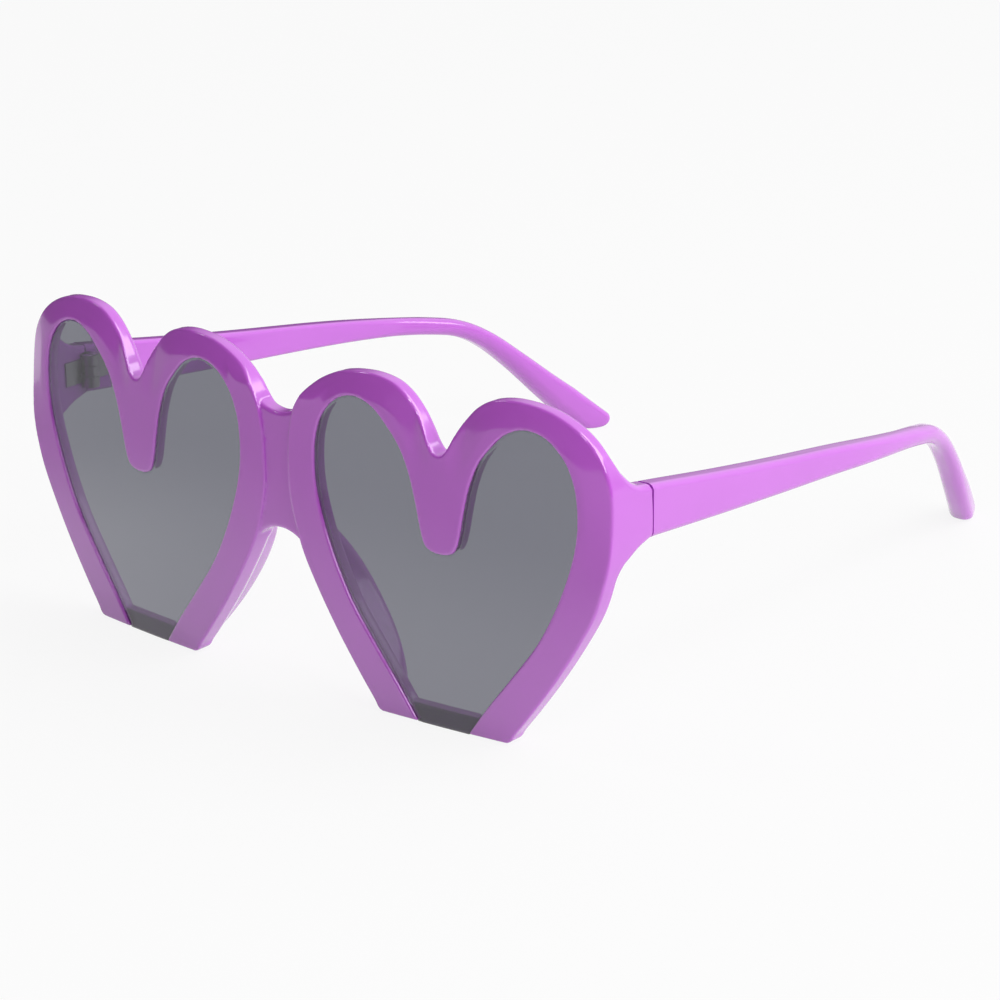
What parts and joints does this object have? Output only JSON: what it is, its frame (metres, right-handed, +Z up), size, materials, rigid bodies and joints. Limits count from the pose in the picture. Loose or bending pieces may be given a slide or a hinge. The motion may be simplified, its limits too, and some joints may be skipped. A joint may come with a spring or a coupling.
{
  "type": "sunglasses",
  "caption": "Heart shaped sunglasses with a one-piece plastic front open below smoke lenses, and temples that fold inwards on metal barrel hinges.",
  "frame": {"origin": "on the ground, midway between the glasses' sides and midway between the front's face and the temples' ends", "axes": "+X to the wearer's left, +Y back along the temples, +Z up"},
  "size_m": [0.1442, 0.1616, 0.0644],
  "materials": {
    "purple_plastic": "polished moulded plastic with rounded edges",
    "smoke_lens": "polished smoke tint",
    "hinge_metal": "satin nickel",
    "screw_metal": "polished, slotted head"
  },
  "bodies": {
    "front": {"front_frame": "purple_plastic", "left_lens": "smoke_lens", "right_lens": "smoke_lens", "left_front_leaf": "hinge_metal", "right_front_leaf": "hinge_metal", "left_hinge_screw": "screw_metal", "right_hinge_screw": "screw_metal"},
    "left_arm": {"left_temple": "purple_plastic", "left_temple_leaf": "hinge_metal"},
    "right_arm": {"right_temple": "purple_plastic", "right_temple_leaf": "hinge_metal"}
  },
  "joints": [
    {"name": "left_fold", "type": "hinge", "parent": "front", "child": "left_arm", "pos_m": [0.06691, -0.06183, 0.0444], "axis": [0, 0, 1], "range_deg": [0, 85]},
    {"name": "right_fold", "type": "hinge", "parent": "front", "child": "right_arm", "pos_m": [-0.06691, -0.06183, 0.0444], "axis": [0, 0, -1], "range_deg": [0, 77]}
  ]
}
